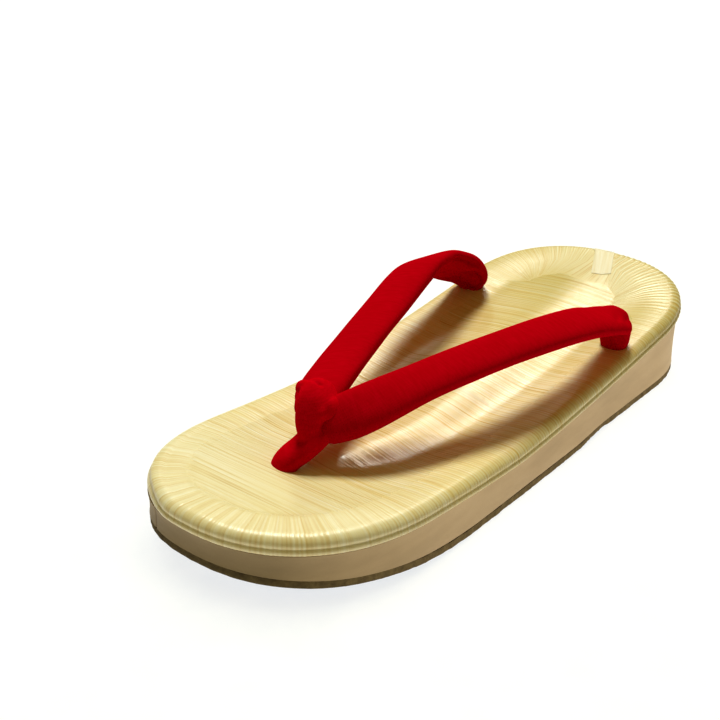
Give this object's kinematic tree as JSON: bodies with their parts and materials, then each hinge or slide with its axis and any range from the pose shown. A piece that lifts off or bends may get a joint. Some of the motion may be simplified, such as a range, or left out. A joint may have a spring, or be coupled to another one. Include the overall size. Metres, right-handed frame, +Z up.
{
  "type": "zori sandal",
  "caption": "Flat-strapped wedge sandal: a low wrapped sole with a padded vinyl cover, and two padded cloth straps that meet at a toe loop.",
  "frame": {"origin": "on the ground under the middle of the sandal's length and width", "axes": "+Z up; the toe points to -Y and the heel to +Y; +X is the wearer's left"},
  "size_m": [0.0948, 0.261, 0.0509],
  "materials": {
    "cover_vinyl": "glossy embossed vinyl in pale straw",
    "wrap_vinyl": "satin beige vinyl",
    "outsole_rubber": "matt dark brown rubber",
    "core_sponge": "matt sponge",
    "strap_cloth": "matt red cloth"
  },
  "bodies": {
    "root": {"outsole": "outsole_rubber", "midsole": "core_sponge", "side_wrap": "wrap_vinyl", "top_cover": "cover_vinyl", "straps": "strap_cloth", "toe_loop": "strap_cloth"}
  },
  "joints": []
}
